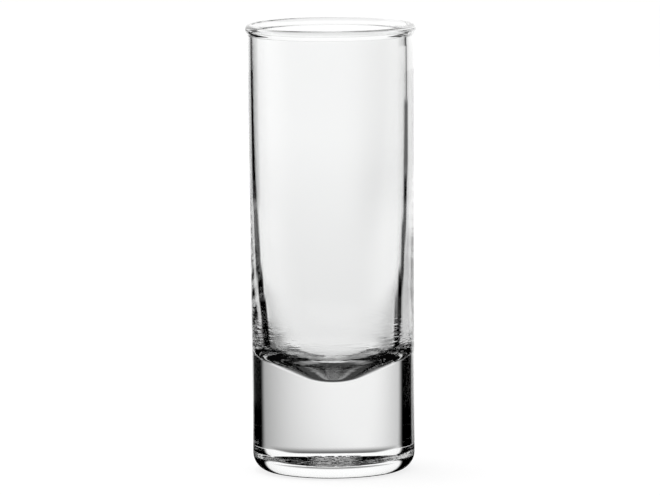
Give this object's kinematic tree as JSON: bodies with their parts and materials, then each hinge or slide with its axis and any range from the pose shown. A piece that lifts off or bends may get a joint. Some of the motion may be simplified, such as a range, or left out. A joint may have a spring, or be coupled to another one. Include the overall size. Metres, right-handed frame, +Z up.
{
  "type": "liqueur glass",
  "caption": "Tall straight-sided clear liqueur glass with a beaded rim, a bowl that narrows to a conical floor, and a heavy solid base with a rounded heel.",
  "frame": {"origin": "centre of the ring that the glass stands on, in the plane of its underside", "axes": "+Z up along the axis of the glass, from the base to the rim; the glass is round, so X and Y point to no feature"},
  "size_m": [0.04, 0.04, 0.105],
  "materials": {
    "clear_glass": "clear soda-lime glass, fire-polished, very faint green-grey in the thick base"
  },
  "bodies": {
    "root": {"heavy_base": "clear_glass", "side_wall": "clear_glass", "rim_bead": "clear_glass"}
  },
  "joints": []
}
